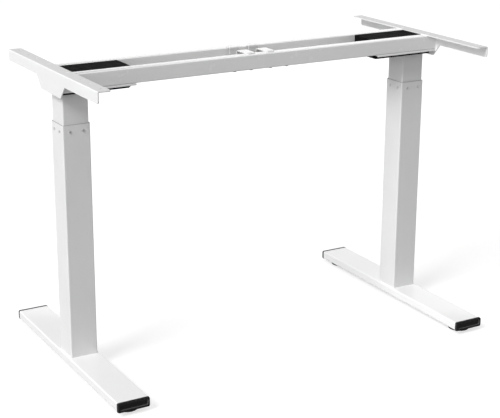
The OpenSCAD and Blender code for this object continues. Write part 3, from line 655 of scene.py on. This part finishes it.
# Covers, pans and grommets
# Moulded black cover over the drive, a shallow pan clipped under the head plate, and a
# rubber grommet where the motor's lead passes into the cover.
cover_black = coated("cover_black", colour=(0.008, 0.008, 0.0085), deep=(0.005, 0.005, 0.0055),
                     edge=grey(0.03), rough=(0.55, 0.7), grain=2600, relief=0.00012, edge_highlight=0.5,
                     level=0.04)
rubber = coated("grommet_rubber", colour=grey(0.02), deep=grey(0.015), edge=grey(0.03),
                rough=(0.6, 0.75), grain=1800, relief=0.0001, edge_highlight=0.3)
for side in sides:
    eased(side + "_motor_cover", cover_black, edge=0.0009, steps=3)
    eased(side + "_motor_pan", cover_black, edge=0.0007, steps=3)
    eased(side + "_lead_grommet", rubber, edge=0.0006, steps=3)


# Cross rails and sleeves
# Rectangular tube in two halves that butt together at the middle, in a glossier coat; a
# bare sleeve inside both halves lets the frame pull out to a wider desktop.
gloss_coat = coated("white_gloss_coat", colour=grey(0.85), deep=grey(0.83), edge=grey(0.92),
                    rough=(0.2, 0.28), grain=900, relief=0.00002, edge_highlight=0.8, coat=1.0)
sleeve_steel = bare_metal("sleeve_steel", colour=(0.58, 0.58, 0.6),
                          dark_colour=(0.42, 0.42, 0.44), stretch=(14, 400, 400))
for side in sides:
    for end in ends:
        eased(f"{side}_{end}_rail", gloss_coat, edge=0)
for end in ends:
    eased(end + "_sleeve", sleeve_steel, edge=0.0003)


# Cross straps
# Pressed from thick sheet: two flat ears on the rails and a sunk middle between them, deburred,
# coated and screwed down flush. The slopes are painted darker, as painted shade.
slope_shade_coat = coated("white_slope_coat", colour=grey(0.52), deep=grey(0.48), edge=grey(0.6),
                    rough=(0.5, 0.6), grain=900, relief=0.00002, edge_highlight=0.4, level=0.2)
nearly_upright, nearly_flat = 0.1, 0.9
for side in sides:
    strap = eased(side + "_cross_strap", gloss_coat, edge=0.0005).data
    strap.materials.append(slope_shade_coat)
    # Faces that are neither flat nor upright, the slopes, take the painted shade
    for face in strap.polygons:
        if nearly_upright < abs(face.normal.z) < nearly_flat:
            face.material_index = 1


# Side brackets
# Laser-cut 3 mm sheet folded along one edge: the flange carries the desktop, the web
# deepens into a gusset at the column's head. Edges deburred, then coated.
# The flange's top face is painted grey above this depth under the top, as painted shade
flange_shade_depth, flange_shade_tone = 0.0004, grey(0.66)
bracket_coat = coated("white_bracket_coat", colour=grey(0.85), deep=grey(0.82), edge=grey(1.0),
                      rough=(0.6, 0.7), grain=1100, relief=0.0002, edge_highlight=1.0, level=0.2,
                      top=(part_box("left_side_bracket")[1].z - flange_shade_depth, flange_shade_tone))
for side in sides:
    eased(side + "_side_bracket", bracket_coat, edge=0.0005)


# Screws and bolts
# All the fasteners: socket-headed bolts up through the feet and head plates, small
# zinc-plated screws for the guide pads, and countersunk ones in the straps and flanges.
black_oxide = coated("black_oxide", colour=(0.06, 0.06, 0.063), deep=(0.04, 0.04, 0.042),
                     edge=grey(0.16), rough=(0.35, 0.5), grain=1500, relief=0.0001, edge_highlight=0.6,
                     metallic=0.6)
zinc_plate = bare_metal("zinc_plate", colour=(0.82, 0.82, 0.83), dark_colour=(0.74, 0.74, 0.75),
                        stretch=(600, 600, 600))
screw_white = coated("painted_screw", colour=grey(0.8), deep=grey(0.76), edge=grey(0.86),
                     rough=(0.35, 0.45), grain=1500, relief=0.0001, edge_highlight=0.5)
# Each step's share of the head's height, and how much its top face draws in
head_step_shares = ((0.6, 1.0), (0.27, 0.96), (0.13, 0.92))
blank_sides, socket_rim_share, socket_draw_share = 24, 1.12, 0.97


def screw_tree():
    """Geometry Nodes: one turned screw with a hexagon socket, set on every point."""
    tree = bpy.data.node_groups.new("screw_set", "GeometryNodeTree")
    tree.interface.new_socket("Geometry", in_out="INPUT", socket_type="NodeSocketGeometry")
    for label in ("Shank Radius", "Shank Length", "Cone Height", "Head Radius",
                  "Head Height", "Socket Radius", "Socket Depth"):
        tree.interface.new_socket(label, in_out="INPUT", socket_type="NodeSocketFloat")
    tree.interface.new_socket("Finish", in_out="INPUT", socket_type="NodeSocketMaterial")
    tree.interface.new_socket("Geometry", in_out="OUTPUT", socket_type="NodeSocketGeometry")
    place, join = tree.nodes, tree.links
    given = place.new("NodeGroupInput").outputs
    result = place.new("NodeGroupOutput")

    def reckon(a, how, b):
        node = place.new("ShaderNodeMath")
        node.operation = how
        feed(join, a, node.inputs[0])
        feed(join, b, node.inputs[1])
        return node.outputs[0]

    def step(mesh, top, rise, scale):
        """Draws the top face up by rise and then scales it."""
        pull = place.new("GeometryNodeExtrudeMesh")
        pull.mode = "FACES"
        pull.inputs["Individual"].default_value = False
        join.new(mesh, pull.inputs["Mesh"])
        if top is not None:
            join.new(top, pull.inputs["Selection"])
        up = place.new("ShaderNodeCombineXYZ")
        feed(join, rise, up.inputs["Z"])
        join.new(up.outputs["Vector"], pull.inputs["Offset"])
        pull.inputs["Offset Scale"].default_value = 1.0
        swell = place.new("GeometryNodeScaleElements")
        join.new(pull.outputs["Mesh"], swell.inputs["Geometry"])
        join.new(pull.outputs["Top"], swell.inputs["Selection"])
        feed(join, scale, swell.inputs["Scale"])
        return swell.outputs["Geometry"], pull.outputs["Top"]

    def hexagon_of(mesh, top):
        """Draws the corners of the top face in to a hexagon of the socket's size."""
        where = place.new("GeometryNodeInputPosition").outputs["Position"]
        parts = place.new("ShaderNodeSeparateXYZ")
        join.new(where, parts.inputs["Vector"])
        angle = reckon(parts.outputs["Y"], "ARCTAN2", parts.outputs["X"])
        side_angle = reckon(reckon(angle, "ADD", 2 * math.pi), "MODULO", math.pi / 3)
        swing = place.new("ShaderNodeMath")
        swing.operation = "COSINE"
        join.new(reckon(side_angle, "SUBTRACT", math.pi / 6), swing.inputs[0])
        flat = reckon(math.cos(math.pi / 6), "DIVIDE", swing.outputs[0])
        reach = reckon(given["Socket Radius"], "MULTIPLY", flat)
        level = place.new("ShaderNodeVectorMath")
        level.operation = "MULTIPLY"
        level.inputs[1].default_value = (1, 1, 0)
        join.new(where, level.inputs[0])
        aim = place.new("ShaderNodeVectorMath")
        aim.operation = "NORMALIZE"
        join.new(level.outputs["Vector"], aim.inputs[0])
        spoke = place.new("ShaderNodeVectorMath")
        spoke.operation = "SCALE"
        join.new(aim.outputs["Vector"], spoke.inputs[0])
        join.new(reach, spoke.inputs["Scale"])
        lift = place.new("ShaderNodeCombineXYZ")
        join.new(parts.outputs["Z"], lift.inputs["Z"])
        spot = place.new("ShaderNodeVectorMath")
        join.new(spoke.outputs["Vector"], spot.inputs[0])
        join.new(lift.outputs["Vector"], spot.inputs[1])
        hexagon = place.new("GeometryNodeSetPosition")
        join.new(mesh, hexagon.inputs["Geometry"])
        join.new(top, hexagon.inputs["Selection"])
        join.new(spot.outputs["Vector"], hexagon.inputs["Position"])
        return hexagon.outputs["Geometry"]

    def on_every_point(mesh):
        """Sets the screw on each point, turned to the point's own direction out."""
        spin = place.new("FunctionNodeAlignRotationToVector")
        spin.axis = "Z"
        faced = place.new("GeometryNodeInputNamedAttribute")
        faced.data_type = "FLOAT_VECTOR"
        faced.inputs["Name"].default_value = "out"
        join.new(faced.outputs["Attribute"], spin.inputs["Vector"])
        spread = place.new("GeometryNodeInstanceOnPoints")
        join.new(given["Geometry"], spread.inputs["Points"])
        join.new(mesh, spread.inputs["Instance"])
        join.new(spin.outputs["Rotation"], spread.inputs["Rotation"])
        real = place.new("GeometryNodeRealizeInstances")
        join.new(spread.outputs["Instances"], real.inputs["Geometry"])
        return real.outputs["Geometry"]

    blank = place.new("GeometryNodeMeshCircle")
    blank.fill_type = "NGON"
    blank.inputs["Vertices"].default_value = blank_sides
    join.new(given["Shank Radius"], blank.inputs["Radius"])
    sunk = place.new("GeometryNodeTransform")
    drop = place.new("ShaderNodeCombineXYZ")
    depth = reckon(given["Shank Length"], "ADD", given["Cone Height"])
    join.new(reckon(depth, "MULTIPLY", -1.0), drop.inputs["Z"])
    join.new(blank.outputs["Mesh"], sunk.inputs["Geometry"])
    join.new(drop.outputs["Vector"], sunk.inputs["Translation"])

    head_growth = reckon(given["Head Radius"], "DIVIDE", given["Shank Radius"])
    mesh, top = step(sunk.outputs["Geometry"], None, given["Shank Length"], 1.0)
    mesh, top = step(mesh, top, given["Cone Height"], head_growth)
    for share, draw in head_step_shares:
        mesh, top = step(mesh, top, reckon(given["Head Height"], "MULTIPLY", share), draw)
    drawn_in = math.prod(draw for share, draw in head_step_shares)
    rim = reckon(given["Head Radius"], "MULTIPLY", drawn_in)
    mouth = reckon(given["Socket Radius"], "DIVIDE", rim)
    mesh, top = step(mesh, top, 0.0, reckon(mouth, "MULTIPLY", socket_rim_share))
    socket_drop = reckon(given["Socket Depth"], "MULTIPLY", -1.0)
    mesh, top = step(hexagon_of(mesh, top), top, socket_drop, socket_draw_share)
    paint = place.new("GeometryNodeSetMaterial")
    join.new(on_every_point(mesh), paint.inputs["Geometry"])
    join.new(given["Finish"], paint.inputs["Material"])
    join.new(paint.outputs["Geometry"], result.inputs["Geometry"])
    return tree


screws = screw_tree()


def screw_set(node, seats, sizes, material, extra=None):
    """Screws on seats of (place, direction out), made plain and put on the node's body."""
    points = bpy.data.meshes.new(node + "_seats")
    points.from_pydata([seat for seat, out in seats], [], [])
    aim = points.attributes.new("out", "FLOAT_VECTOR", "POINT")
    for i, (seat, out) in enumerate(seats):
        aim.data[i].vector = out
    holder = put_in_scene(node + "_seats", points)
    made = holder.modifiers.new("screws", "NODES")
    made.node_group = screws
    for item in screws.interface.items_tree:
        if item.item_type == "SOCKET" and item.in_out == "INPUT":
            if item.name in sizes:
                made[item.identifier] = sizes[item.name]
            elif item.name == "Finish":
                made[item.identifier] = material
    graph = bpy.context.evaluated_depsgraph_get()
    mesh = bpy.data.meshes.new_from_object(holder.evaluated_get(graph))
    mesh.name = node + "_shown"
    bpy.data.objects.remove(holder)
    if extra:
        shape = bmesh.new()
        shape.from_mesh(mesh)
        extra(shape)
        shape.to_mesh(mesh)
        shape.free()
    place_piece(mesh, node, material)


# Shares of the diameter, as such heads are made
head_share, head_height_share, sunk_head_share, cone_share = 0.875, 0.55, 0.85, 0.38
socket_share, socket_depth_share = 0.31, 0.26


def socket_head(diameter, length):
    return {"Shank Radius": diameter / 2, "Shank Length": length, "Cone Height": 0.0,
            "Head Radius": diameter * head_share, "Head Height": diameter * head_height_share,
            "Socket Radius": diameter * socket_share,
            "Socket Depth": diameter * socket_depth_share}


def sunk_head(diameter, length, rim=0.0002):
    cone = diameter * cone_share - rim
    return {"Shank Radius": diameter / 2, "Shank Length": length - cone - rim,
            "Cone Height": cone, "Head Radius": diameter * sunk_head_share, "Head Height": rim,
            "Socket Radius": diameter * socket_share,
            "Socket Depth": diameter * socket_depth_share}


nut_radius, nut_height, nut_ease = 0.0057, 0.0045, 0.0004


def nuts_on(spots, seat_z):
    """Adds a hexagon nut with rounded edges over each bolt, standing on the rails' floor."""
    def add(shape):
        for x, y in spots:
            made = bmesh.ops.create_cone(
                shape, cap_ends=True, segments=6, radius1=nut_radius, radius2=nut_radius,
                depth=nut_height, matrix=Matrix.Translation((x, y, seat_z + nut_height / 2)))
            edges = [e for v in made["verts"] for e in v.link_edges]
            bmesh.ops.bevel(shape, geom=list(set(edges)), offset=nut_ease, segments=2,
                            profile=0.5, affect="EDGES", clamp_overlap=True)
    return add


# Diameter and length under the head of each kind
foot_bolt, rail_bolt, lock_screw = (0.008, 0.030), (0.006, 0.0123), (0.006, 0.0018)
strap_screw, bracket_screw = (0.005, 0.004), (0.006, 0.0105)
# The guide screws have low heads with a shallow socket
guide_screw = socket_head(0.004, 0.0022)
guide_screw["Head Height"] = 0.00152
guide_screw["Socket Depth"] = 0.0005
# Places of the holes: from the column's axis, from its mouth, or from the frame's middle
foot_bolt_out, guide_screw_drop, guide_screw_out = 0.021, 0.018, 0.018
rail_bolts_in, rail_y, plate_wall, rail_wall = (-0.036, 0.128), 0.060, 0.003, 0.0015
lock_screws_x, strap_screw_y, bracket_screw_x, flush_gap = (0.030, 0.080), 0.053, 0.553, 0.0002
down, up = Vector((0, 0, -1)), Vector((0, 0, 1))
for side, sign in (("left", -1), ("right", 1)):
    low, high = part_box(side + "_outer_column")
    axis = (low + high) / 2
    column_half = (high.y - low.y) / 2
    foot_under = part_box(side + "_foot")[0].z
    screw_set(side + "_foot_bolts",
              [(Vector((axis.x + x * foot_bolt_out, y * foot_bolt_out, foot_under)), down)
               for x in (-1, 1) for y in (-1, 1)],
              socket_head(*foot_bolt), black_oxide)
    seats = []
    for turn in range(4):
        out = Matrix.Rotation(turn * math.pi / 2, 3, "Z") @ Vector((1, 0, 0))
        across = Vector((-out.y, out.x, 0))
        for s in (-1, 1):
            seats.append((Vector((axis.x, 0, high.z - guide_screw_drop)) + out * column_half
                          + across * s * guide_screw_out, out))
    screw_set(side + "_guide_screws", seats, guide_screw, zinc_plate)
    rail_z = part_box(side + "_head_plate")[1].z
    spots = [(axis.x - sign * x, y * rail_y) for x in rail_bolts_in for y in (-1, 1)]
    screw_set(side + "_rail_bolts",
              [(Vector((x, y, rail_z - plate_wall)), down) for x, y in spots],
              socket_head(*rail_bolt), black_oxide,
              nuts_on(spots, rail_z + rail_wall))
    screw_set(side + "_lock_screws",
              [(Vector((sign * x, y * rail_y, rail_z)), down)
               for x in lock_screws_x for y in (-1, 1)],
              socket_head(*lock_screw), black_oxide)
    strap_low, strap_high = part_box(side + "_cross_strap")
    strap_x = (strap_low.x + strap_high.x) / 2
    screw_set(side + "_strap_screws",
              [(Vector((strap_x, y * strap_screw_y, strap_high.z - flush_gap)), up)
               for y in (-1, 1)],
              sunk_head(*strap_screw), screw_white)
    desk_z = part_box(side + "_side_bracket")[1].z
    screw_set(side + "_bracket_screws",
              [(Vector((sign * bracket_screw_x, y * rail_y, desk_z - flush_gap)), up)
               for y in (-1, 1)],
              sunk_head(*bracket_screw), screw_white)
